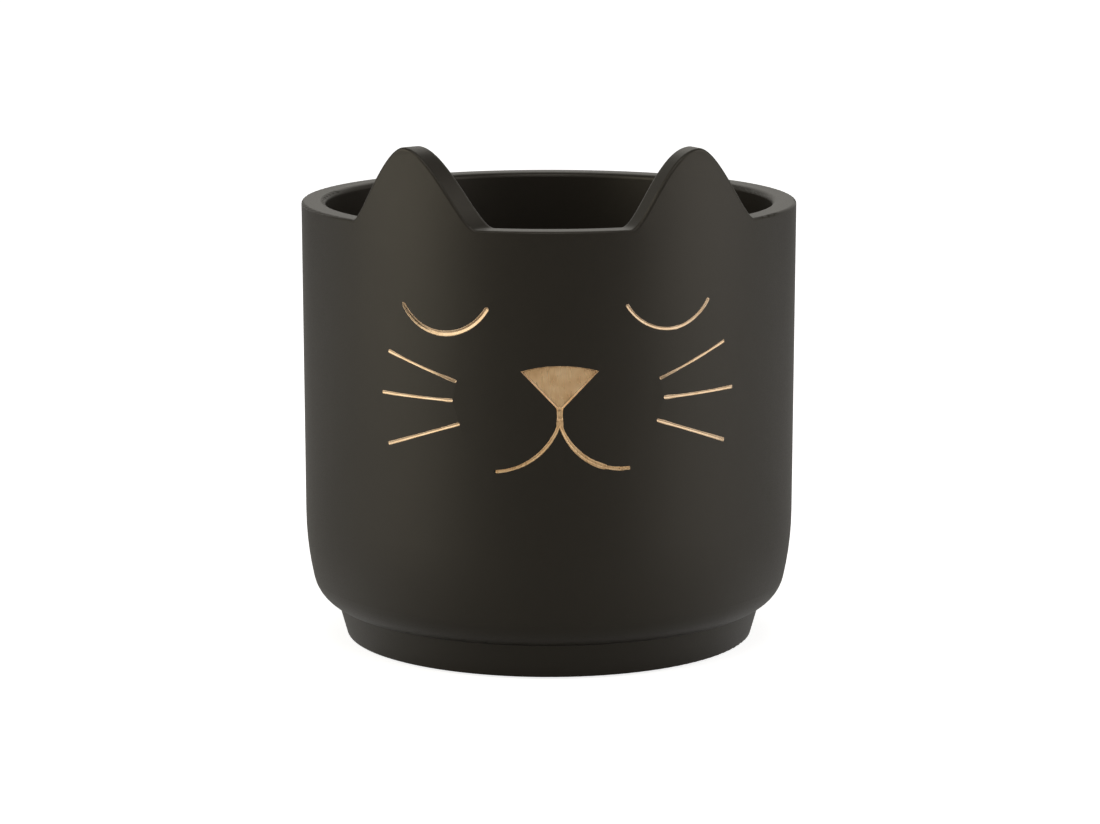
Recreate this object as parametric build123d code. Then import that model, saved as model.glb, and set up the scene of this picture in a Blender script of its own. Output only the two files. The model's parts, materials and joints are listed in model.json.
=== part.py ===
from build123d import *
import os
from math import atan2, cos, degrees, hypot, radians, sin, tan

# A round plant pot with a sleeping cat's face: one casting with two ears on its rim, grooves
# in its front with gold in them, a rubber plug in its drain hole and three pads under its foot.
# Sizes are in millimetres and degrees. The pot stands on z = 0 around the Z axis, and its face
# looks along -Y, so "left" and "right" are those of someone who looks at the face.
# Heights are counted from the underside of the foot, and places across the face along the wall.

# Outside of the casting
rim_radius = 70.0
rim_height = 124.8
rim_outer_edge_radius = 0.8
rim_inner_edge_radius = 1.5
wall_draft = 0.22
bend_radius = 90.0
bend_lean = 12.5
corner_radius = 10.2
corner_lean = 69.8
foot_height = 9.6
foot_step = 0.3
foot_taper = 2.7
foot_edge_radius = 0.6

# Inside and underside of the casting
wall_thickness = 6.8
floor_thickness = 8.0
floor_corner_radius = 15.0
underside_recess = 3.0
foot_ring_width = 11.0
drain_hole_radius = 6.5

# Ears: bells that carry the wall on above the rim, finished by hand and so not quite alike. An
# ear's place is the angle of its tip round the pot, its cut angle is that of its sides from straight
# through the wall at the tip, and its widths run from below the tip to each foot. A side leaves the
# rim level and reaches the tip level: longer flares and crowns round its foot and its top more.
ear_place_angles = {"left": -35.1, "right": 34.2}
ear_cut_angles = {"left": -17.0, "right": -6.3}
ear_heights = {"left": 21.1, "right": 20.8}
ear_left_widths = {"left": 19.0, "right": 20.6}
ear_right_widths = {"left": 19.5, "right": 21.5}
ear_left_flares = {"left": 3.6, "right": 4.5}
ear_right_flares = {"left": 3.1, "right": 4.5}
ear_left_crowns = {"left": 6.3, "right": 10.4}
ear_right_crowns = {"left": 8.6, "right": 6.7}

# Grooves of the face, and the gold in them
groove_depth = 1.0
gold_recess = 0.25
gold_clearance = 0.02

# Closed eyes: arcs that hang below their ends
left_eye_across = 30.4
left_eye_low = 96.55
left_eye_radius = 14.2
left_eye_half_angle = 59.5
left_eye_width = 1.2
right_eye_across = 32.6
right_eye_low = 97.6
right_eye_radius = 14.6
right_eye_half_angle = 57.0
right_eye_width = 0.7

# Whiskers: where each starts beside the nose and where its tip lies, across the face and in height
whisker_width = 0.6
whisker_starts = {
    "left_upper": (26.7, 83.6),
    "left_middle": (27.8, 78.4),
    "left_lower": (25.8, 72.15),
    "right_upper": (29.7, 84.1),
    "right_middle": (31.0, 78.85),
    "right_lower": (28.9, 72.85),
}
whisker_tips = {
    "left_upper": (48.1, 90.35),
    "left_middle": (50.4, 78.75),
    "left_lower": (48.4, 64.7),
    "right_upper": (51.2, 92.5),
    "right_middle": (54.1, 79.4),
    "right_lower": (51.5, 65.05),
}

# Nose: a triangle with a crowned top, above the line that runs down to the mouth
nose_across = 1.75
nose_top = 87.05
nose_crown = 1.5
nose_half_width = 10.4
nose_bottom = 77.15
nose_line_width = 1.8

# Mouth: an arc to each side from the lower end of the line under the nose
mouth_top = 73.2
mouth_width = 0.8
left_mouth_reach = 17.2
left_mouth_drop = 13.6
left_mouth_radius = 19.6
right_mouth_reach = 18.7
right_mouth_drop = 12.9
right_mouth_radius = 17.6

# Plug that drops into the drain hole from inside, and is lifted out by its grip
plug_clearance = 0.05
plug_stem_short = 0.5
plug_head_radius = 10.5
plug_head_height = 2.4
plug_neck_radius = 2.0
plug_neck_height = 1.4
plug_grip_radius = 3.4
plug_grip_height = 2.6
plug_edge_radius = 0.6

# Pads in shallow seats under the foot ring, by the way each lies from the axis
pad_angles = {"front_pad": -90, "rear_right_pad": 30, "rear_left_pad": 150}
pad_radius = 3.0
pad_thickness = 1.2
pad_proud = 0.5
pad_clearance = 0.1

# Levels that follow from the sizes above
foot_z = pad_proud
rim_z = foot_z + rim_height
recess_z = foot_z + underside_recess
floor_z = recess_z + floor_thickness
blank_top_z = rim_z + 2 * max(ear_heights.values())
corner_rise = corner_radius * (sin(radians(corner_lean)) - sin(radians(bend_lean)))
bend_rise = bend_radius * (sin(radians(bend_lean)) - sin(radians(wall_draft)))
bend_z = foot_z + foot_height + corner_rise + bend_rise

# A length that reaches past the casting from its axis, and a tolerance for finding edges
beyond = 2 * rim_radius
near = 0.01


def outer_radius(z):
    """Radius of the straight wall's outside, which the ears carry on above the rim."""
    return rim_radius + (z - rim_z) * tan(radians(wall_draft))


def face_plane(across):
    """Upright plane through the axis that faces out of the wall at a place across the face."""
    angle = across / rim_radius
    right = (cos(angle), sin(angle), 0)
    outward = (sin(angle), -cos(angle), 0)
    return Plane(origin=(0, 0, foot_z), x_dir=right, z_dir=outward)


# Outline of the wall's outside, from above the ears down to the crease over the foot
wall_line = Line((outer_radius(blank_top_z), blank_top_z), (outer_radius(bend_z), bend_z))
bend_arc = JernArc(wall_line @ 1, wall_line % 1, bend_radius, wall_draft - bend_lean)
corner_arc = JernArc(bend_arc @ 1, bend_arc % 1, corner_radius, bend_lean - corner_lean)
crease = corner_arc @ 1

# Radii of the foot, from that crease inwards
foot_top_radius = crease.X - foot_step
foot_bottom_radius = foot_top_radius - foot_taper
ring_inner_radius = foot_bottom_radius - foot_ring_width
ring_middle_radius = foot_bottom_radius - foot_ring_width / 2


def pot_blank():
    """The casting turned about its axis, with its wall carried up past the ears all round."""
    underside = Polyline(
        crease,
        (foot_top_radius, crease.Y),
        (foot_bottom_radius, foot_z),
        (ring_inner_radius, foot_z),
        (ring_inner_radius, recess_z),
        (drain_hole_radius, recess_z),
        (drain_hole_radius, floor_z),
    )
    inside = Polyline(
        (drain_hole_radius, floor_z),
        (outer_radius(floor_z) - wall_thickness, floor_z),
        (outer_radius(blank_top_z) - wall_thickness, blank_top_z),
        wall_line @ 0,
    )
    section = make_face([wall_line, bend_arc, corner_arc, underside, inside])
    foot_edges = section.vertices().filter_by(lambda v: abs(v.Y - foot_z) < near)
    section = fillet(foot_edges, foot_edge_radius)
    floor_edges = section.vertices().filter_by(lambda v: abs(v.Y - floor_z) < near)
    section = fillet(floor_edges.sort_by(Axis.X)[-1], floor_corner_radius)
    return revolve(Plane.XZ * section, Axis.Z)


def ear_block(side):
    """Prism with one ear's outline, from the axis outwards, that also reaches below the rim."""
    height = ear_heights[side]
    left_width = ear_left_widths[side]
    right_width = ear_right_widths[side]
    root = max(left_width, right_width) / 2
    tip = (0, height)
    left_foot = (-left_width, 0)
    right_foot = (right_width, 0)
    left_flare = (ear_left_flares[side] - left_width, 0)
    right_flare = (right_width - ear_right_flares[side], 0)
    left_side = Bezier(left_foot, left_flare, (-ear_left_crowns[side], height), tip)
    right_side = Bezier(tip, (ear_right_crowns[side], height), right_flare, right_foot)
    base = Polyline(
        right_foot,
        (right_width + root, 0),
        (right_width + root, -root),
        (-left_width - root, -root),
        (-left_width - root, 0),
        left_foot,
    )
    outline = make_face([left_side, right_side, base])
    cut_angle = radians(ear_cut_angles[side])
    plane = face_plane((radians(ear_place_angles[side]) + cut_angle) * rim_radius)
    middle = -rim_radius * sin(cut_angle)
    return extrude(plane * Pos(middle, rim_height) * outline, amount=beyond)


def pot_casting():
    """The pot with its two ears, rounded along both edges of the rim and the ears."""
    above_rim = Pos(0, 0, rim_z) * Cylinder(beyond, beyond, align=(Align.CENTER, Align.CENTER, Align.MIN))
    cut_away = above_rim - ear_block("left") - ear_block("right")
    pot = (pot_blank() - cut_away).solid()
    for inset, edge_radius in ((0, rim_outer_edge_radius), (wall_thickness, rim_inner_edge_radius)):
        edges = pot.edges().filter_by(
            lambda e: (e @ 0.5).Z > rim_z - near
            and abs(hypot((e @ 0.5).X, (e @ 0.5).Y) - outer_radius((e @ 0.5).Z) + inset) < near
        )
        pot = pot.fillet(edge_radius, edges)
    return pot


def eye_stroke(across, low, radius, half_angle, width):
    """One closed eye: an arc that is lowest at its middle."""
    arc = CenterArc((0, low + radius), radius, 270 - half_angle, 2 * half_angle)
    return face_plane(across) * SlotArc(arc, width)


def whisker_stroke(name, shrink):
    """One whisker: a straight stroke with round ends from its start to its tip."""
    sign = -1 if name.startswith("left") else 1
    start_across, start_height = whisker_starts[name]
    tip_across, tip_height = whisker_tips[name]
    run = tip_across - start_across
    rise = tip_height - start_height
    length = hypot(run, rise) - 2 * shrink
    slot = SlotOverall(length, whisker_width - 2 * shrink, rotation=degrees(atan2(rise, sign * run)))
    middle_across = sign * (start_across + tip_across) / 2
    middle_height = (start_height + tip_height) / 2
    return face_plane(middle_across) * Pos(0, middle_height) * slot


def nose_stroke(shrink):
    """The nose's three-cornered panel, drawn in by shrink all round."""
    half_line = nose_line_width / 2
    left_corner = (-nose_half_width, nose_top)
    right_corner = (nose_half_width, nose_top)
    top = ThreePointArc(left_corner, (0, nose_top + nose_crown), right_corner)
    sides = Polyline(right_corner, (half_line, nose_bottom), (-half_line, nose_bottom), left_corner)
    panel = make_face([top, sides])
    if shrink:
        panel = offset(panel, -shrink, kind=Kind.INTERSECTION)
    return face_plane(nose_across) * panel


def mouth_stroke(shrink):
    """The line under the nose with the mouth's two arcs, drawn in by shrink all round."""
    fork = (0, mouth_top)
    left_end = (-left_mouth_reach, mouth_top - left_mouth_drop)
    right_end = (right_mouth_reach, mouth_top - right_mouth_drop)
    line_height = nose_bottom - shrink - mouth_top
    nose_line = Pos(0, mouth_top + line_height / 2) * Rectangle(nose_line_width - 2 * shrink, line_height)
    left_arc = SlotArc(RadiusArc(fork, left_end, left_mouth_radius), mouth_width - 2 * shrink)
    right_arc = SlotArc(RadiusArc(fork, right_end, -right_mouth_radius), mouth_width - 2 * shrink)
    return face_plane(nose_across) * (nose_line + left_arc + right_arc)


def face_strokes(shrink):
    """Every stroke of the face by the name of the gold in it, drawn in by shrink all round."""
    strokes = {
        "left_eyelid_inlay": eye_stroke(
            across=-left_eye_across,
            low=left_eye_low,
            radius=left_eye_radius,
            half_angle=left_eye_half_angle,
            width=left_eye_width - 2 * shrink,
        ),
        "right_eyelid_inlay": eye_stroke(
            across=right_eye_across,
            low=right_eye_low,
            radius=right_eye_radius,
            half_angle=right_eye_half_angle,
            width=right_eye_width - 2 * shrink,
        ),
        "nose_inlay": nose_stroke(shrink),
        "mouth_inlay": mouth_stroke(shrink),
    }
    for name in whisker_starts:
        strokes[name + "_whisker_inlay"] = whisker_stroke(name, shrink)
    return strokes


def wall_core(inset):
    """Solid cone that lies a given depth inside the straight wall."""
    return Pos(0, 0, bend_z) * Cone(
        outer_radius(bend_z) - inset,
        outer_radius(rim_z) - inset,
        rim_z - bend_z,
        align=(Align.CENTER, Align.CENTER, Align.MIN),
    )


def drain_plug():
    """Rubber plug: a stem in the drain hole, a head on the floor, and a grip on a thin neck."""
    stem_radius = drain_hole_radius - plug_clearance
    stem_bottom = recess_z + plug_stem_short
    head_top = floor_z + plug_head_height
    neck_top = head_top + plug_neck_height
    grip_top = neck_top + plug_grip_height
    section = make_face(
        Polyline(
            (0, stem_bottom),
            (stem_radius, stem_bottom),
            (stem_radius, floor_z),
            (plug_head_radius, floor_z),
            (plug_head_radius, head_top),
            (plug_neck_radius, head_top),
            (plug_neck_radius, neck_top),
            (plug_grip_radius, neck_top),
            (plug_grip_radius, grip_top),
            (0, grip_top),
            close=True,
        )
    )
    rounded = section.vertices().filter_by(
        lambda v: (abs(v.X - stem_radius) < near and v.Y < floor_z - near)
        or (v.X > stem_radius + near and v.Y > floor_z + near)
        or (abs(v.X - plug_grip_radius) < near)
        or (abs(v.X - plug_neck_radius) < near)
    )
    return revolve(Plane.XZ * fillet(rounded, plug_edge_radius), Axis.Z)


def pad(angle, clearance):
    """One round pad under the foot ring, or with a clearance the seat that holds it."""
    disc = Cylinder(pad_radius + clearance, pad_thickness, align=(Align.CENTER, Align.CENTER, Align.MIN))
    return Rot(0, 0, angle) * Pos(ring_middle_radius, 0, 0) * disc


grooves = [extrude(stroke, amount=beyond) - wall_core(groove_depth) for stroke in face_strokes(0).values()]
seats = [pad(angle, pad_clearance) for angle in pad_angles.values()]
gold_layer = wall_core(gold_recess) - wall_core(groove_depth - gold_clearance)

pieces = {"pot_body": pot_casting() - grooves - seats, "drain_plug": drain_plug()}
for name, stroke in face_strokes(gold_clearance).items():
    pieces[name] = extrude(stroke, amount=beyond) & gold_layer
for name, angle in pad_angles.items():
    pieces[name] = pad(angle, 0)

os.makedirs("parts", exist_ok=True)
for name, piece in pieces.items():
    export_step(piece, f"parts/{name}.step")
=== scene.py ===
import json
from math import asin, atan2, cos, hypot, pi, radians, sin, sqrt, tan

import bpy
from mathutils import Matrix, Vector, noise


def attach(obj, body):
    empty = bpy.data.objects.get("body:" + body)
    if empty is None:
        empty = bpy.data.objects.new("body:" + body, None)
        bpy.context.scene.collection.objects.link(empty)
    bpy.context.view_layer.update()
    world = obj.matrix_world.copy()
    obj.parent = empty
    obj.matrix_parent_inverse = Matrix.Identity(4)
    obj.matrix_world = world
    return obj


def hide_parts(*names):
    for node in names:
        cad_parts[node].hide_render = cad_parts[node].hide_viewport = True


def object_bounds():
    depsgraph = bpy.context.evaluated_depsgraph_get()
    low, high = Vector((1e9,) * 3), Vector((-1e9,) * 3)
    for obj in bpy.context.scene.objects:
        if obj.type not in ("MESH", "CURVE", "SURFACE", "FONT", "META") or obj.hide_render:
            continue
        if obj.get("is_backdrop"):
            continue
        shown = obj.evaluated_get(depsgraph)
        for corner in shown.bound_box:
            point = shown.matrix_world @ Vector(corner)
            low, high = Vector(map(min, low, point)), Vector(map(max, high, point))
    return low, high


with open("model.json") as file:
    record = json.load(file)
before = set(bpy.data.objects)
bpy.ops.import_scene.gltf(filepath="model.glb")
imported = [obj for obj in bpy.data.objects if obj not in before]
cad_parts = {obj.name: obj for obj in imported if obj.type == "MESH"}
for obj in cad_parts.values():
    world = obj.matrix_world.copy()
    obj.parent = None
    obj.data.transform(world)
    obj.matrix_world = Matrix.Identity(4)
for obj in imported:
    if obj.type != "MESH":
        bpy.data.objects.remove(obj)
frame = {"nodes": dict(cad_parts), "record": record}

cad_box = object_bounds()

# The photograph's view: its width and focal length in pixels, and where it is taken from. Angles are
# in degrees. Lengths in the scene are in metres, and sizes on the pot in millimetres.
PHOTO_WIDTH = 1100
PHOTO_FOCAL = 3794.3
SENSOR_WIDTH = 36.0
CAMERA_DISTANCE = 1.0860
CAMERA_AZIMUTH = -1.0
CAMERA_ELEVATION = 10.4305
AIM_HEIGHT = 0.06383
AIM_RIGHT = 0.000315
CLIP_NEAR = 0.05
CLIP_FAR = 50

# Sizes of the pot. Places across the face run along the wall from its middle, and heights count from
# the underside of the foot.
MM = 0.001
FOOT_LEVEL = 0.5
RIM_LEVEL = 125.3
RIM_RADIUS = 70.0
WALL_DRAFT = 0.22
GROOVE_DEPTH = 1.0


def wall_point(across, x, height, out):
    """A place on the wall in metres: x aside of the place across the face, and out off the wall."""
    level = height + FOOT_LEVEL
    radius = RIM_RADIUS + (level - RIM_LEVEL) * tan(radians(WALL_DRAFT))
    angle = across / RIM_RADIUS + asin(x / radius)
    radius += out
    return Vector((radius * sin(angle), -radius * cos(angle), level)) * MM


# Materials. A noise has a scale in features per metre and a level of detail. Depths of bumps are in
# metres, and pairs of other values are spread over the middle range of a noise.

NOISE_ROUGHNESS = 0.55
NOISE_RANGE = (0.3, 0.7)

GLAZE_CLOUDS = (38, 4)
GLAZE_GRAIN = (2600, 3)
GLAZE_SPECKS = (1500, 1)
GLAZE_WAVES = (90, 2)
GLAZE_TONES = [(0.3, (0.0085, 0.0066, 0.0046)), (0.7, (0.0105, 0.0082, 0.0057))]
SPECK_TONES = [(0.35, (0.0078, 0.0061, 0.0043)), (0.75, (0.0180, 0.0142, 0.0100))]
SPECK_AMOUNT = (0.0, 0.35)
GLAZE_ROUGHNESS = (0.39, 0.48)
GLAZE_SPECULAR_TINT = (1.0, 0.95, 0.84, 1)
GLAZE_BUMP = 0.25
WAVE_DEPTH = 0.00012
GRAIN_DEPTH = 0.00003

GOLD_PATCHES = (300, 2)
PATCH_PLACES = (0.28, 0.5, 0.72)
GOLD_BRUSH = (700, 1)
BRUSH_STRETCH = (1.0, 1.0, 5.0)
BRUSH_TONES = [(0.35, (0.94, 0.92, 0.89)), (0.65, (1.0, 1.0, 1.0))]
BRUSH_AMOUNT = (0.5, 0.9)
BRUSH_BUMP = 0.04
BRUSH_DEPTH = 0.00002
PANEL_TONES = [(0.76, 0.482, 0.244), (0.88, 0.594, 0.326), (0.96, 0.690, 0.409)]
PANEL_METAL = 0.58
PANEL_ROUGHNESS = (0.24, 0.32)
# Strokes: a copy of the gold paint, glossier and more metallic, whose paler, less saturated tones are
# painted highlight
STROKE_HIGHLIGHT_TONES = [(0.565, 0.397, 0.242), (0.642, 0.470, 0.309), (0.710, 0.541, 0.375)]
STROKE_METAL = 0.68
STROKE_ROUGHNESS = (0.18, 0.28)

RUBBER_DUST = (160, 4)
DUST_PLACES = (0.35, 0.7)
RUBBER_PEBBLES = (3000, 2)
RUBBER_ROUGHNESS = (0.62, 0.78)
RUBBER_SPECULAR = 0.35
PEBBLE_BUMP = 0.4
PEBBLE_DEPTH = 0.00005
PLUG_TONES = [(0.022, 0.022, 0.023), (0.040, 0.040, 0.042)]
PAD_TONES = [(0.050, 0.050, 0.052), (0.085, 0.085, 0.088)]


def new_material(name):
    """An empty node material with its output."""
    material = bpy.data.materials.new(name)
    material.use_nodes = True
    nodes = material.node_tree.nodes
    nodes.clear()
    output = nodes.new("ShaderNodeOutputMaterial")
    return material, nodes, material.node_tree.links, output


def object_noise(nodes, links, scale_and_detail, stretch=(1.0, 1.0, 1.0)):
    """Noise fixed to the piece, with longer features along a stretched axis."""
    scale, detail = scale_and_detail
    where = nodes.new("ShaderNodeTexCoord")
    stretched = nodes.new("ShaderNodeVectorMath")
    stretched.operation = "DIVIDE"
    stretched.inputs[1].default_value = stretch
    texture = nodes.new("ShaderNodeTexNoise")
    texture.inputs["Scale"].default_value = scale
    texture.inputs["Detail"].default_value = detail
    texture.inputs["Roughness"].default_value = NOISE_ROUGHNESS
    links.new(where.outputs["Object"], stretched.inputs[0])
    links.new(stretched.outputs["Vector"], texture.inputs["Vector"])
    return texture.outputs["Fac"]


def ramp(nodes, links, source, stops):
    """Colours by value: stops are pairs of a value and a colour."""
    node = nodes.new("ShaderNodeValToRGB")
    elements = node.color_ramp.elements
    while len(elements) < len(stops):
        elements.new(0.5)
    for element, (position, colour) in zip(elements, stops):
        element.position = position
        element.color = (*colour, 1)
    links.new(source, node.inputs["Fac"])
    return node.outputs["Color"]


def remap(nodes, links, source, values):
    """A noise's middle range spread between two values."""
    node = nodes.new("ShaderNodeMapRange")
    node.inputs["From Min"].default_value = NOISE_RANGE[0]
    node.inputs["From Max"].default_value = NOISE_RANGE[1]
    node.inputs["To Min"].default_value = values[0]
    node.inputs["To Max"].default_value = values[1]
    links.new(source, node.inputs["Value"])
    return node.outputs["Result"]


def bump(nodes, links, source, depth, strength, under=None):
    """Small relief from a noise, over another one if that is given."""
    node = nodes.new("ShaderNodeBump")
    node.inputs["Strength"].default_value = strength
    node.inputs["Distance"].default_value = depth
    links.new(source, node.inputs["Height"])
    if under is not None:
        links.new(under, node.inputs["Normal"])
    return node.outputs["Normal"]


def mix_colours(nodes, links, factor, first, second, how="MIX"):
    """Two colours mixed by a factor."""
    node = nodes.new("ShaderNodeMix")
    node.data_type = "RGBA"
    node.blend_type = how
    links.new(factor, node.inputs["Factor"])
    links.new(first, node.inputs["A"])
    links.new(second, node.inputs["B"])
    return node.outputs["Result"]


def ceramic_material():
    """Dark matte glaze: a little mottled, with a fine grain and pinpoint specks."""
    material, nodes, links, output = new_material("matte_ceramic")
    shader = nodes.new("ShaderNodeBsdfPrincipled")
    shader.inputs["Specular Tint"].default_value = GLAZE_SPECULAR_TINT
    clouds = object_noise(nodes, links, GLAZE_CLOUDS)
    grain = object_noise(nodes, links, GLAZE_GRAIN)
    specks = object_noise(nodes, links, GLAZE_SPECKS)
    waves = object_noise(nodes, links, GLAZE_WAVES)
    glaze = ramp(nodes, links, clouds, GLAZE_TONES)
    speck_tone = ramp(nodes, links, grain, SPECK_TONES)
    where_specks = remap(nodes, links, specks, SPECK_AMOUNT)
    colour = mix_colours(nodes, links, where_specks, glaze, speck_tone)
    wavy = bump(nodes, links, waves, WAVE_DEPTH, GLAZE_BUMP)
    links.new(colour, shader.inputs["Base Color"])
    links.new(remap(nodes, links, grain, GLAZE_ROUGHNESS), shader.inputs["Roughness"])
    links.new(bump(nodes, links, grain, GRAIN_DEPTH, GLAZE_BUMP, wavy), shader.inputs["Normal"])
    links.new(shader.outputs["BSDF"], output.inputs["Surface"])
    return material


def gold_material(name, metallic, roughness, tones):
    """Brushed-on gold paint: three tones in soft patches, with faint upright brush marks."""
    material, nodes, links, output = new_material(name)
    shader = nodes.new("ShaderNodeBsdfPrincipled")
    shader.inputs["Metallic"].default_value = metallic
    patches = object_noise(nodes, links, GOLD_PATCHES)
    brush = object_noise(nodes, links, GOLD_BRUSH, BRUSH_STRETCH)
    paint = ramp(nodes, links, patches, list(zip(PATCH_PLACES, tones)))
    thin = ramp(nodes, links, brush, BRUSH_TONES)
    amount = remap(nodes, links, patches, BRUSH_AMOUNT)
    links.new(mix_colours(nodes, links, amount, paint, thin, "MULTIPLY"), shader.inputs["Base Color"])
    links.new(remap(nodes, links, brush, roughness), shader.inputs["Roughness"])
    links.new(bump(nodes, links, brush, BRUSH_DEPTH, BRUSH_BUMP), shader.inputs["Normal"])
    links.new(shader.outputs["BSDF"], output.inputs["Surface"])
    return material


def rubber_material(name, tones):
    """Moulded rubber: dull, a little dusty, with a fine pebbled skin."""
    material, nodes, links, output = new_material(name)
    shader = nodes.new("ShaderNodeBsdfPrincipled")
    shader.inputs["Specular IOR Level"].default_value = RUBBER_SPECULAR
    dust = object_noise(nodes, links, RUBBER_DUST)
    pebbles = object_noise(nodes, links, RUBBER_PEBBLES)
    colour = ramp(nodes, links, dust, list(zip(DUST_PLACES, tones)))
    links.new(colour, shader.inputs["Base Color"])
    links.new(remap(nodes, links, dust, RUBBER_ROUGHNESS), shader.inputs["Roughness"])
    links.new(bump(nodes, links, pebbles, PEBBLE_DEPTH, PEBBLE_BUMP), shader.inputs["Normal"])
    links.new(shader.outputs["BSDF"], output.inputs["Surface"])
    return material


# The gold of the strokes and of the nose's slopes: paler, less saturated tones as painted highlight
highlight_painted_gold = gold_material("gold_paint_with_painted_highlight", STROKE_METAL, STROKE_ROUGHNESS, STROKE_HIGHLIGHT_TONES)
looks = {
    "matte_ceramic": ceramic_material(),
    "gold": gold_material("gold_paint", PANEL_METAL, PANEL_ROUGHNESS, PANEL_TONES),
    "plug_rubber": rubber_material("plug_rubber", PLUG_TONES),
    "pad_rubber": rubber_material("pad_rubber", PAD_TONES),
}
for part in frame["record"]["subparts"]:
    node = frame["nodes"][part["node"]]
    node.data.materials.clear()
    node.data.materials.append(looks[part["material_slot"]])


# Gold of the face. Each stroke is a ribbon between two edges, drawn as places across the face and
# heights. Its surface dips where its groove lies under it, and is a thin film beyond the groove:
# the film stands this far off the wall, and paint starts to dip this far inside the groove's edge.

FILM = 0.025
OVERLAP = 0.03
# How far the edges of a stroke waver, how many times per millimetre, and where in the noise each
# edge's waver is read
WAVER = 0.035
WAVERS_PER_MM = 0.9
WAVER_SEEDS = (0.3, 7.7)
# The square of the share of its width that a stroke keeps at the very end
END_WIDTH = 0.03
# The widest that half the gap between two strands may be, as a share of the stroke's width
HALF_GAP_LIMIT = 0.35
# The columns of a ribbon. Those of a panel lie closer together near its edges, at these distances
# from an edge, which shrink where the panel is narrower than a number of such edge zones.
STROKE_COLUMNS = 14
PANEL_COLUMNS = 26
EDGE_COLUMNS = [0.0, 0.035, 0.09, 0.16, 0.24, 0.33, 0.45, 0.62]
EDGE_ZONES = 2.6
# The underside of the gold: its level in the groove, and how far it is drawn in from each edge, in
# millimetres, or as a share of the width where that is under a millimetre
UNDERSIDE = -0.95 * GROOVE_DEPTH
DRAWN_IN = 0.3
# A face of a panel is part of its sloping sides where it falls by more than this
SLOPE_FALL = 0.03
# Widths that are next to nothing, to divide by
TINY = 1e-6
NARROW = 0.01


def even_line(fine, count):
    """Places evenly along straight pieces."""
    lengths = [0.0]
    for start, end in zip(fine, fine[1:]):
        lengths.append(lengths[-1] + hypot(end[0] - start[0], end[1] - start[1]))
    places = []
    piece = 0
    for step in range(count):
        wanted = lengths[-1] * step / (count - 1)
        while piece < len(fine) - 2 and lengths[piece + 1] < wanted:
            piece += 1
        span = lengths[piece + 1] - lengths[piece]
        t = (wanted - lengths[piece]) / span if span else 0.0
        places.append([a + (b - a) * t for a, b in zip(fine[piece], fine[piece + 1])])
    return places


def arc_line(middle, radius, first, turn, count=200):
    """Places along an arc, from one angle through a turn."""
    places = []
    for step in range(count):
        angle = first + turn * step / (count - 1)
        places.append((middle[0] + radius * cos(angle), middle[1] + radius * sin(angle)))
    return places


def turn_between(first, last):
    """The shorter turn from one angle to another."""
    return (last - first + pi) % (2 * pi) - pi


def value_along(table, t):
    """The table's value at t, eased between its entries."""
    for (t0, v0), (t1, v1) in zip(table, table[1:]):
        if t <= t1:
            s = (t - t0) / (t1 - t0)
            return v0 + (v1 - v0) * s * s * (3 - 2 * s)
    return table[-1][1]


def between(a, b, share):
    """The place that lies a share of the way from one place to another."""
    return tuple(start + (end - start) * share for start, end in zip(a, b))


def clamped(share):
    """A share held between 0 and 1."""
    return min(max(share, 0.0), 1.0)


def end_fade(from_ends, caps, half):
    """The share of its width that a stroke has near its ends, which are rounded over their caps."""
    fade = 1.0
    for distance, cap in zip(from_ends, caps):
        if distance < cap * half:
            fade = min(fade, sqrt(max(END_WIDTH, 1 - (1 - distance / (cap * half)) ** 2)))
    return fade


def stroke_edges(line, widths, shifts, caps, seed):
    """Both edges of a stroke along a line: width and sideways shift by table, and caps of its ends."""
    left, right = [], []
    count = len(line)
    length = sum(hypot(b[0] - a[0], b[1] - a[1]) for a, b in zip(line, line[1:]))
    for index, place in enumerate(line):
        before = line[max(index - 1, 0)]
        after = line[min(index + 1, count - 1)]
        size = hypot(after[0] - before[0], after[1] - before[1])
        side = (-(after[1] - before[1]) / size, (after[0] - before[0]) / size)
        t = index / (count - 1)
        half = value_along(widths, t) / 2
        shift = value_along(shifts, t)
        fade = end_fade((t * length, (1 - t) * length), caps, half)
        along = t * length * WAVERS_PER_MM
        waver = [WAVER * noise.noise(Vector((along, seed, k))) for k in WAVER_SEEDS]
        up = shift + (half + waver[0]) * fade
        down = shift - (half + waver[1]) * fade
        left.append((place[0] + side[0] * up, place[1] + side[1] * up))
        right.append((place[0] + side[0] * down, place[1] + side[1] * down))
    return left, right


def parted(edges, gaps):
    """A stroke whose first part is two strands, with the width of the gap between them by table."""
    left, right = edges
    last = round(gaps[-1][0] * (len(left) - 1))
    upper, lower = [], []
    for index in range(last + 1):
        width = hypot(right[index][0] - left[index][0], right[index][1] - left[index][1])
        gap = value_along(gaps, index / (len(left) - 1))
        half_gap = min(gap / (2 * width), HALF_GAP_LIMIT)
        upper.append(between(left[index], right[index], 0.5 - half_gap))
        lower.append(between(left[index], right[index], 0.5 + half_gap))
    strands = [(left[: last + 1], upper), (lower, right[: last + 1])]
    return [*strands, (left[last:], right[last:])]


def columns_at(columns, width):
    """Shares of a ribbon's width where its columns lie, closer together near the edges of a panel."""
    if columns < 2 * len(EDGE_COLUMNS):
        return [k / columns for k in range(columns + 1)]
    squeeze = min(1.0, width / (EDGE_ZONES * EDGE_COLUMNS[-1]))
    near = [distance * squeeze / max(width, TINY) for distance in EDGE_COLUMNS]
    inner = columns - 2 * (len(EDGE_COLUMNS) - 1)
    middle = [near[-1] + (1 - 2 * near[-1]) * k / inner for k in range(1, inner)]
    return near + middle + [1 - share for share in reversed(near)]


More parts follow.
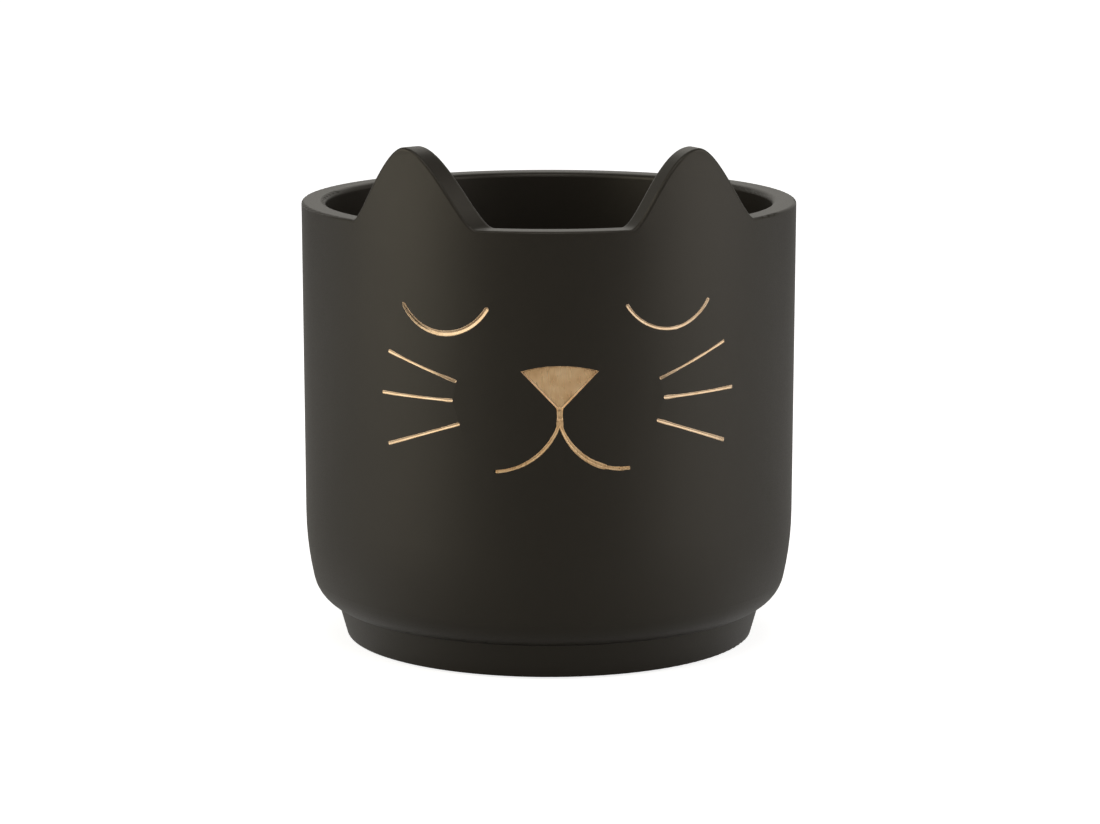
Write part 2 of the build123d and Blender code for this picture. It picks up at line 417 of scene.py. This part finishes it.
def ribbon_mesh(name, across, ribbons, surface, columns, paints):
    """Ribbons closed underneath inside their groove. A second paint, with painted highlight, is for a
    panel's slopes.
    """
    points = []
    levels = []
    faces = []
    flat = []
    ring = columns + 3
    for first, second in ribbons:
        base = len(points)
        for a, b in zip(first, second):
            width = hypot(b[0] - a[0], b[1] - a[1])
            for share in columns_at(columns, width):
                x, height = between(a, b, share)
                levels.append(surface(x, height))
                points.append(wall_point(across, x, height, levels[-1]))
            for end, other in ((b, a), (a, b)):
                x, height = between(end, other, min(DRAWN_IN, DRAWN_IN / max(width, NARROW)))
                levels.append(UNDERSIDE)
                points.append(wall_point(across, x, height, UNDERSIDE))
        for row in range(len(first) - 1):
            for k in range(ring):
                here = base + row * ring + k
                beside = base + row * ring + (k + 1) % ring
                faces.append((here, beside, beside + ring, here + ring))
                flat.append(k >= columns)
        last_row = base + (len(first) - 1) * ring
        faces.append(tuple(base + k for k in reversed(range(ring))))
        faces.append(tuple(last_row + k for k in range(ring)))
        flat += [True, True]
    mesh = bpy.data.meshes.new(name)
    mesh.from_pydata(points, [], faces)
    for paint in paints:
        mesh.materials.append(paint)
    for polygon, is_flat in zip(mesh.polygons, flat):
        own_levels = [levels[index] for index in polygon.vertices]
        polygon.use_smooth = not is_flat
        if len(paints) > 1 and max(own_levels) - min(own_levels) > SLOPE_FALL:
            polygon.material_index = 1
    mesh.validate()
    return mesh


def gold_piece(name, node, across, ribbons, surface, columns, paints):
    """One gold piece that takes the place of an inlay."""
    mesh = ribbon_mesh(name, across, ribbons, surface, columns, paints)
    piece = bpy.data.objects.new(name, mesh)
    bpy.context.scene.collection.objects.link(piece)
    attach(piece, "pot")
    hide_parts(node)


# Paint slopes down from both edges of a groove and is deepest above its middle line, so that most of
# it faces up: the share of the half width where it is deepest, and how softly the two slopes meet.
# Then how steep the lower slope is: in the eyes and whiskers by how far aside they lie, because paint
# is laid flatter towards the sides of the face, and in the mouth.
DEEPEST = 0.35
SOFTNESS = 0.5
THIN_SLOPES = [(0.0, 0.65), (20.0, 0.65), (33.0, 0.4), (60.0, 0.4)]
FULL_SLOPE = 0.52


def thin_slope(across):
    """The slope of the paint in the eyes and whiskers."""
    return value_along(THIN_SLOPES, abs(across))


def paint_depth(aside, past_end, groove_width, slope):
    """How deep paint lies in a groove with round ends, at a place aside above its middle line."""
    reach = groove_width / 2 - OVERLAP
    if hypot(aside, past_end) >= reach:
        return 0.0
    half = sqrt(reach**2 - past_end**2)
    lower = (1 + aside / half) / (1 + DEEPEST)
    upper = (1 - aside / half) / (1 - DEEPEST)
    share = (lower + upper - hypot(lower - upper, SOFTNESS)) / 2
    return slope * (1 + DEEPEST) * half * max(share, 0.0)


# Closed eyes: arcs that hang below their ends. The paint runs on past each end of the groove's middle
# line by an angle. Widths, sideways shifts and gaps between strands run from left to right.
EYE_TIP = 2.6
EYE_ROWS = 300
EYES = {
    "left_eyelid": {
        "node": "left_eyelid_inlay",
        "across": -30.4,
        "low": 96.55,
        "radius": 14.2,
        "half_angle": 59.5,
        "groove": 1.2,
        "widths": [(0.0, 1.2), (0.15, 1.3), (0.35, 1.42), (0.52, 1.6), (0.7, 1.45), (1.0, 1.3)],
        "shifts": [(0.0, 0.0), (0.5, -0.03), (1.0, 0.0)],
        "caps": (2.6, 1.0),
        "gaps": [(0.0, 0.02), (0.06, 0.2), (0.2, 0.3), (0.32, 0.18), (0.38, 0.0)],
    },
    "right_eyelid": {
        "node": "right_eyelid_inlay",
        "across": 32.6,
        "low": 97.6,
        "radius": 14.6,
        "half_angle": 57.0,
        "groove": 0.7,
        "widths": [
            (0.0, 1.0),
            (0.1, 0.86),
            (0.52, 0.88),
            (0.57, 1.08),
            (0.6, 0.88),
            (0.8, 0.86),
            (1.0, 1.0),
        ],
        "shifts": [(0.0, 0.0), (0.25, -0.05), (0.55, -0.05), (0.75, 0.06), (1.0, 0.0)],
        "caps": (0.5, 0.4),
        "gaps": None,
    },
}


def eye_piece(name, eye, seed):
    """The gold of one closed eye."""
    middle = (0, eye["low"] + eye["radius"])

    def surface(x, height):
        turn = abs(atan2(x, middle[1] - height))
        past_end = max(turn - radians(eye["half_angle"]), 0.0) * eye["radius"]
        aside = eye["radius"] - hypot(x, height - middle[1])
        slope = thin_slope(eye["across"] + x)
        return FILM - paint_depth(aside, past_end, eye["groove"], slope)

    half_turn = radians(eye["half_angle"] + EYE_TIP)
    arc = arc_line(middle, eye["radius"], -pi / 2 - half_turn, 2 * half_turn)
    edges = stroke_edges(even_line(arc, EYE_ROWS), eye["widths"], eye["shifts"], eye["caps"], seed)
    ribbons = parted(edges, eye["gaps"]) if eye["gaps"] else [edges]
    gold_piece(name, eye["node"], eye["across"], ribbons, surface, STROKE_COLUMNS, [highlight_painted_gold])


for index, (name, eye) in enumerate(EYES.items()):
    eye_piece(name, eye, index)

# Whiskers: start beside the nose, tip, and widths from start to tip
WHISKER_GROOVE = 0.6
WHISKER_CAPS = (0.8, 0.35)
WHISKER_ROWS = 220
WHISKER_SEED = 10
STRAIGHT = [(0.0, 0.0), (1.0, 0.0)]
WHISKERS = {
    "left_upper": {
        "start": (-26.7, 83.6),
        "tip": (-48.1, 90.35),
        "widths": [(0.0, 0.88), (0.1, 1.02), (0.25, 0.7), (0.75, 0.68), (0.88, 0.98), (1.0, 1.02)],
    },
    "left_middle": {
        "start": (-27.8, 78.4),
        "tip": (-50.4, 78.75),
        "widths": [(0.0, 0.92), (0.06, 1.08), (0.16, 0.74), (0.6, 0.8), (0.9, 0.92), (1.0, 0.98)],
    },
    "left_lower": {
        "start": (-25.8, 72.15),
        "tip": (-48.4, 64.7),
        "widths": [(0.0, 0.95), (0.06, 1.0), (0.2, 0.8), (0.5, 0.82), (0.85, 1.0), (1.0, 1.02)],
    },
    "right_upper": {
        "start": (29.7, 84.1),
        "tip": (51.2, 92.5),
        "widths": [
            (0.0, 0.92),
            (0.1, 0.82),
            (0.3, 0.62),
            (0.6, 0.77),
            (0.75, 0.64),
            (0.93, 0.84),
            (1.0, 0.86),
        ],
    },
    "right_middle": {
        "start": (31.0, 78.85),
        "tip": (54.1, 79.4),
        "past_tip": 0.5,
        "widths": [(0.0, 1.05), (0.05, 1.15), (0.2, 0.85), (0.7, 0.8), (0.8, 0.9), (1.0, 0.98)],
    },
    "right_lower": {
        "start": (28.9, 72.85),
        "tip": (51.5, 65.05),
        "widths": [(0.0, 0.92), (0.08, 1.08), (0.3, 0.86), (0.55, 0.9), (0.85, 1.08), (1.0, 1.08)],
    },
}


def whisker_piece(name, whisker, seed):
    """The gold of one whisker, which may run on past the tip of its groove."""
    start, tip = whisker["start"], whisker["tip"]
    across = (start[0] + tip[0]) / 2
    run = (tip[0] - start[0], tip[1] - start[1])
    length = hypot(*run)
    sign = 1 if run[0] > 0 else -1

    def surface(x, height):
        from_start = (x + run[0] / 2, height - start[1])
        along = (from_start[0] * run[0] + from_start[1] * run[1]) / length
        aside = (from_start[1] * abs(run[0]) - from_start[0] * run[1] * sign) / length
        half = WHISKER_GROOVE / 2
        past_end = max(half - along, along - length + half, 0.0)
        return FILM - paint_depth(aside, past_end, WHISKER_GROOVE, thin_slope(across + x))

    past_tip = whisker.get("past_tip", 0.0) / length
    end = (run[0] * (0.5 + past_tip), tip[1] + run[1] * past_tip)
    line = even_line([(-run[0] / 2, start[1]), end], WHISKER_ROWS)
    edges = stroke_edges(line, whisker["widths"], STRAIGHT, WHISKER_CAPS, seed)
    gold_piece(name, name + "_inlay", across, [edges], surface, STROKE_COLUMNS, [highlight_painted_gold])


for index, (name, whisker) in enumerate(WHISKERS.items()):
    whisker_piece(name + "_whisker", whisker, WHISKER_SEED + index)

# Nose: a sunk panel with a crowned top and sloping gold sides, a little rippled. The slopes take the
# paler gold copy, whose tones are painted highlight. Its sides run down to the line below it, and
# near there the panel is open to that line.
NOSE_ACROSS = 1.75
NOSE_TOP = 87.05
NOSE_CROWN = 1.5
NOSE_HALF_WIDTH = 10.4
NOSE_BOTTOM = 77.15
NOSE_LINE_HALF = 0.9
NOSE_OPEN = 1.5
NOSE_SINK = 0.62
NOSE_SLOPE = 0.3
NOSE_RIPPLE = 0.012
RIPPLES_PER_MM = 0.8
RIPPLE_SEED = 3.0
NOSE_STATIONS = 120
# How far its lower edge lies below the recess, and how tall it is at its corners
NOSE_BELOW = 0.04
CORNER_HEIGHT = 0.02

crown_radius = (NOSE_HALF_WIDTH**2 + NOSE_CROWN**2) / (2 * NOSE_CROWN)
crown_middle = NOSE_TOP + NOSE_CROWN - crown_radius
side_run = NOSE_HALF_WIDTH - NOSE_LINE_HALF
side_rise = NOSE_TOP - NOSE_BOTTOM
side_length = hypot(side_run, side_rise)


def inside_nose(x, height):
    """How far a place lies inside the nose's top and its two sides."""
    from_top = crown_radius - hypot(x, height - crown_middle)
    beyond_line = abs(x) - NOSE_LINE_HALF
    from_side = ((height - NOSE_BOTTOM) * side_run - beyond_line * side_rise) / side_length
    return min(from_top, from_side)


def nose_surface(x, height):
    """The panel's floor with its sloping sides; it runs on into the line below it."""
    depth = inside_nose(x, height)
    if height < NOSE_BOTTOM + NOSE_OPEN:
        depth = max(depth, NOSE_LINE_HALF - abs(x))
    share = clamped((depth - OVERLAP) / NOSE_SLOPE)
    place = Vector((x * RIPPLES_PER_MM, height * RIPPLES_PER_MM, RIPPLE_SEED))
    ripple = NOSE_RIPPLE * noise.noise(place)
    return FILM - (NOSE_SINK + ripple) * share * share * (3 - 2 * share)


def nose_piece():
    """The gold of the nose, as one ribbon between its top and its lower edge."""
    top_edge = []
    low_edge = []
    for step in range(NOSE_STATIONS + 1):
        x = (NOSE_HALF_WIDTH + OVERLAP) * (2 * step / NOSE_STATIONS - 1)
        top = crown_middle + sqrt((crown_radius + OVERLAP) ** 2 - x**2)
        low = NOSE_BOTTOM + max(abs(x) - NOSE_LINE_HALF, 0.0) * side_rise / side_run - NOSE_BELOW
        top_edge.append((x, max(top, low + CORNER_HEIGHT)))
        low_edge.append((x, low))
    ribbons = [(top_edge, low_edge)]
    # The sloping sides take the gold copy whose paler tones are painted highlight
    paints = [looks["gold"], highlight_painted_gold]
    gold_piece("nose", "nose_inlay", NOSE_ACROSS, ribbons, nose_surface, PANEL_COLUMNS, paints)


nose_piece()

# Mouth: the line under the nose, and from the fork at its lower end an arc to each side, as how far
# the arc reaches aside, how far it drops, and its radius
MOUTH_TOP = 73.2
MOUTH_GROOVE = 0.8
MOUTHS = {"left": (-17.2, 13.6, 19.6), "right": (18.7, 12.9, 17.6)}
# The line's depths by height, as its top dips under the nose's panel, the width of its sloping sides,
# and its half widths by height
LINE_TOP = NOSE_BOTTOM + 0.9
LINE_DEPTHS = [
    (MOUTH_TOP, 0.0),
    (MOUTH_TOP + 1.6, 0.35),
    (NOSE_BOTTOM - 1.0, 0.35),
    (LINE_TOP, NOSE_SINK + 0.12),
]
LINE_SLOPE = 0.37
LINE_ROWS = 30
LINE_HALVES = [
    (71.8, 0.93),
    (72.4, 0.90),
    (73.2, 0.92),
    (73.6, 0.86),
    (74.8, 0.76),
    (76.2, 0.8),
    (77.35, 0.95),
    (LINE_TOP, 0.95),
]
# Widths and outward shifts of each arc from the fork to its end, and how far its paint runs on there
ARC_ROWS = 260
ARC_SEED = 20
ARC_CAPS = (0.0, 0.4)
ARC_RUN_ON = {"left": 0.0, "right": 0.35}
ARC_SHIFTS = [(0.0, 0.06), (0.12, 0.0), (1.0, 0.0)]
ARC_WIDTHS = {
    "left": [(0.0, 0.8), (0.1, 0.95), (0.4, 1.0), (0.6, 0.95), (0.8, 0.82), (0.93, 0.88), (1.0, 0.92)],
    "right": [
        (0.0, 0.8),
        (0.1, 1.0),
        (0.45, 1.4),
        (0.66, 1.58),
        (0.71, 1.48),
        (0.745, 0.98),
        (0.88, 1.06),
        (1.0, 0.98),
    ],
}


def mouth_arc(reach, drop, radius):
    """The arc that hangs from the fork to its end: its middle, radius, first angle and turn."""
    chord = hypot(reach, drop)
    lift = sqrt(radius**2 - chord**2 / 4)
    sign = 1 if reach > 0 else -1
    aside = reach / 2 + lift * drop / chord * sign
    height = MOUTH_TOP - drop / 2 + lift * abs(reach) / chord
    first = atan2(MOUTH_TOP - height, -aside)
    last = atan2(MOUTH_TOP - drop - height, reach - aside)
    return (aside, height), radius, first, turn_between(first, last)


arcs = {side: mouth_arc(*sizes) for side, sizes in MOUTHS.items()}


def mouth_surface(x, height):
    """Paint in the grooves of the mouth: two arcs and the line under the nose."""
    depth = 0.0
    for middle, radius, first, turn in arcs.values():
        angle = turn_between(first, atan2(height - middle[1], x - middle[0]))
        if turn < 0:
            angle = -angle
        past_end = max(-angle, angle - abs(turn), 0.0) * radius
        aside = radius - hypot(x - middle[0], height - middle[1])
        depth = max(depth, paint_depth(aside, past_end, MOUTH_GROOVE, FULL_SLOPE))
    inside = max(NOSE_LINE_HALF - abs(x), inside_nose(x, height)) - OVERLAP
    share = clamped(inside / LINE_SLOPE)
    line_depth = value_along(LINE_DEPTHS, max(height - OVERLAP, MOUTH_TOP))
    return FILM - max(depth, line_depth * (1 - (1 - share) ** 2))


def mouth_ribbon(side, seed):
    """Half of the line under the nose, and from its lower end the arc on one side."""
    middle, radius, first, turn = arcs[side]
    sign = 1 if side == "right" else -1
    run_on = ARC_RUN_ON[side] / radius * (1 if turn > 0 else -1)
    line = even_line(arc_line(middle, radius, first, turn + run_on), ARC_ROWS)
    shifts = [(t, sign * shift) for t, shift in ARC_SHIFTS]
    edges = stroke_edges(line, ARC_WIDTHS[side], shifts, ARC_CAPS, seed)
    outer, inner = edges if side == "right" else (edges[1], edges[0])
    far_edge, near_edge = [], []
    for step in range(LINE_ROWS):
        height = LINE_TOP - (LINE_TOP - MOUTH_TOP) * step / LINE_ROWS
        far_edge.append((sign * value_along(LINE_HALVES, height), height))
        near_edge.append((0.0, height))
    for far, near in zip(outer, inner):
        beside_line = far[1] > LINE_HALVES[0][0]
        least = value_along(LINE_HALVES, far[1]) if beside_line else 0.0
        far_edge.append((sign * max(sign * far[0], least), far[1]))
        near_edge.append((sign * max(sign * near[0], 0.0), near[1]))
    return (far_edge, near_edge) if side == "left" else (near_edge, far_edge)


def mouth_piece():
    """The gold of the mouth, as one ribbon for each side."""
    ribbons = [mouth_ribbon(side, ARC_SEED + index) for index, side in enumerate(arcs)]
    paints = [looks["gold"]]
    gold_piece("mouth", "mouth_inlay", NOSE_ACROSS, ribbons, mouth_surface, STROKE_COLUMNS, paints)


mouth_piece()


# Studio: a pale floor that is white for the camera, a pale backdrop and soft light from both sides.
# Directions run from 0 straight in front of the face, over 0.5 at its sides, to 1 straight behind it.

FLOOR_REACH = 6.0
FLOOR_COLOUR = (0.62, 0.62, 0.62, 1)
# How white the camera sees the floor beside the pot and far from it, each with its distance
FLOOR_NEAR = (0.08, 0.82)
FLOOR_FAR = (0.30, 1.0)
# How bright the floor is in reflections, by direction
FLOOR_REFLECTED = [
    (0.0, 0.0),
    (0.15, 0.2),
    (0.3, 0.3),
    (0.45, 0.25),
    (0.6, 0.1),
    (0.8, 0.0),
    (0.9, 0.0),
    (1.0, 0.3),
]
# How much brighter it is there far from the pot, by direction, and the distances where that starts
# and is full
FLOOR_BEYOND = [(0.45, 0.0), (0.58, 0.3), (0.76, 0.3), (0.9, 0.0)]
BEYOND_FROM = 0.2
BEYOND_FULL = 0.6
# How bright the backdrop is, by direction, and its colour in reflections and for the camera
BACKDROP = [(0.5, 0.0), (0.62, 0.35), (0.85, 0.35), (0.97, 0.74)]
BACKDROP_COLOURS = [(0.0, (1.0, 0.975, 0.91)), (1.0, (1.0, 1.0, 1.0))]


def grey_ramp(nodes, links, source, stops):
    """Levels of grey by value."""
    return ramp(nodes, links, source, [(place, (level, level, level)) for place, level in stops])


def direction_share(nodes, links, vector):
    """The direction round the pot that a vector points in."""
    split = nodes.new("ShaderNodeSeparateXYZ")
    links.new(vector, split.inputs[0])
    share = nodes.new("ShaderNodeMapRange")
    share.inputs["From Min"].default_value = -1
    links.new(split.outputs["Y"], share.inputs["Value"])
    return share.outputs["Result"]


def math_node(nodes, links, operation, first, second):
    """Two values put together."""
    node = nodes.new("ShaderNodeMath")
    node.operation = operation
    links.new(first, node.inputs[0])
    links.new(second, node.inputs[1])
    return node.outputs[0]


def floor_material():
    """A pale floor that keeps the shadow, and glows for the camera and in reflections."""
    material, nodes, links, output = new_material("floor_white")
    diffuse = nodes.new("ShaderNodeBsdfDiffuse")
    diffuse.inputs["Color"].default_value = FLOOR_COLOUR
    where = nodes.new("ShaderNodeTexCoord")
    distance = nodes.new("ShaderNodeVectorMath")
    distance.operation = "LENGTH"
    links.new(where.outputs["Object"], distance.inputs[0])
    outward = nodes.new("ShaderNodeVectorMath")
    outward.operation = "NORMALIZE"
    links.new(where.outputs["Object"], outward.inputs[0])
    round_pot = direction_share(nodes, links, outward.outputs["Vector"])
    seen = nodes.new("ShaderNodeMapRange")
    for end, (place, level) in (("Min", FLOOR_NEAR), ("Max", FLOOR_FAR)):
        seen.inputs["From " + end].default_value = place
        seen.inputs["To " + end].default_value = level
    links.new(distance.outputs["Value"], seen.inputs["Value"])
    far = nodes.new("ShaderNodeMapRange")
    far.inputs["From Min"].default_value = BEYOND_FROM
    far.inputs["From Max"].default_value = BEYOND_FULL
    links.new(distance.outputs["Value"], far.inputs["Value"])
    near_tone = grey_ramp(nodes, links, round_pot, FLOOR_REFLECTED)
    beyond_tone = grey_ramp(nodes, links, round_pot, FLOOR_BEYOND)
    far_tone = math_node(nodes, links, "MULTIPLY", beyond_tone, far.outputs["Result"])
    reflected = math_node(nodes, links, "ADD", near_tone, far_tone)
    path = nodes.new("ShaderNodeLightPath").outputs
    mirrored = math_node(nodes, links, "MAXIMUM", path["Is Glossy Ray"], path["Is Transmission Ray"])
    for_camera = math_node(nodes, links, "MULTIPLY", path["Is Camera Ray"], seen.outputs["Result"])
    for_mirrors = math_node(nodes, links, "MULTIPLY", mirrored, reflected)
    glow = nodes.new("ShaderNodeEmission")
    links.new(math_node(nodes, links, "ADD", for_camera, for_mirrors), glow.inputs["Strength"])
    both = nodes.new("ShaderNodeAddShader")
    links.new(diffuse.outputs[0], both.inputs[0])
    links.new(glow.outputs[0], both.inputs[1])
    links.new(both.outputs[0], output.inputs["Surface"])
    return material


def floor():
    """A wide plane under the pot."""
    mesh = bpy.data.meshes.new("floor")
    corners = [(-1, -1), (1, -1), (1, 1), (-1, 1)]
    mesh.from_pydata([(x * FLOOR_REACH, y * FLOOR_REACH, 0) for x, y in corners], [], [(0, 1, 2, 3)])
    mesh.materials.append(floor_material())
    plane = bpy.data.objects.new("floor", mesh)
    bpy.context.scene.collection.objects.link(plane)
    plane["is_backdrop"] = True


def studio_world():
    """White for the camera, and otherwise a pale backdrop behind the pot and dark in front of it."""
    world = bpy.data.worlds.new("studio")
    bpy.context.scene.world = world
    world.use_nodes = True
    nodes = world.node_tree.nodes
    links = world.node_tree.links
    nodes.clear()
    output = nodes.new("ShaderNodeOutputWorld")
    where = nodes.new("ShaderNodeTexCoord")
    round_pot = direction_share(nodes, links, where.outputs["Generated"])
    backdrop = grey_ramp(nodes, links, round_pot, BACKDROP)
    for_camera = nodes.new("ShaderNodeLightPath").outputs["Is Camera Ray"]
    light = nodes.new("ShaderNodeBackground")
    links.new(ramp(nodes, links, for_camera, BACKDROP_COLOURS), light.inputs["Color"])
    links.new(math_node(nodes, links, "MAXIMUM", for_camera, backdrop), light.inputs["Strength"])
    links.new(light.outputs[0], output.inputs["Surface"])


# Softboxes: turn round the pot from straight in front and rise above the floor, distance, width and
# upright size, level and colour. A lamp of level 1 would look white if it were seen.
LIGHT_AIM = Vector((0, 0, 0.07))
SOFTBOXES = {
    "left_softbox": (-68, 20, 0.95, (0.8, 0.8), 2.3, (1.0, 0.955, 0.83)),
    "right_softbox": (71, 20, 0.95, (0.8, 0.8), 1.95, (1.0, 0.97, 0.93)),
    "front_softbox": (0, 56, 0.9, (0.5, 0.28), 3.6, (1.0, 0.98, 0.96)),
    "low_front_softbox": (4, 25, 0.9, (0.6, 0.22), 0.9, (1.0, 0.98, 0.96)),
    "back_softbox": (180, 50, 0.9, (0.6, 0.5), 1.2, (1.0, 0.98, 0.93)),
}


def outwards(azimuth, elevation):
    """The direction from the pot at an azimuth from straight in front and an elevation, in degrees."""
    turn = radians(azimuth)
    rise = radians(elevation)
    return Vector((sin(turn) * cos(rise), -cos(turn) * cos(rise), sin(rise)))


def look_back(thing, out):
    """Turn a lamp or camera to look against a direction."""
    thing.rotation_euler = (-out).to_track_quat("-Z", "Y").to_euler()


def softbox(name, turn, rise, distance, size, level, colour):
    """A lit rectangle that faces the pot and that the camera doesn't see."""
    light = bpy.data.lights.new(name, "AREA")
    light.shape = "RECTANGLE"
    light.size = size[0]
    light.size_y = size[1]
    light.energy = pi * size[0] * size[1] * level
    light.color = colour
    lamp = bpy.data.objects.new(name, light)
    out = outwards(turn, rise)
    lamp.location = LIGHT_AIM + out * distance
    look_back(lamp, out)
    lamp.visible_camera = False
    bpy.context.scene.collection.objects.link(lamp)


def camera():
    """The photograph's view."""
    out = outwards(CAMERA_AZIMUTH, CAMERA_ELEVATION)
    right = outwards(CAMERA_AZIMUTH + 90, 0)
    data = bpy.data.cameras.new("photo_camera")
    data.sensor_width = SENSOR_WIDTH
    data.lens = SENSOR_WIDTH * PHOTO_FOCAL / PHOTO_WIDTH
    data.clip_start = CLIP_NEAR
    data.clip_end = CLIP_FAR
    view = bpy.data.objects.new("photo_camera", data)
    view.location = Vector((0, 0, AIM_HEIGHT)) + right * AIM_RIGHT + out * CAMERA_DISTANCE
    look_back(view, out)
    bpy.context.scene.collection.objects.link(view)
    bpy.context.scene.camera = view


floor()
studio_world()
for name, settings in SOFTBOXES.items():
    softbox(name, *settings)
camera()
bpy.context.scene.view_settings.view_transform = "Standard"

boxes = {"cad": cad_box, "visual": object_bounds()}
{name: [list(corner) for corner in box] for name, box in boxes.items()}
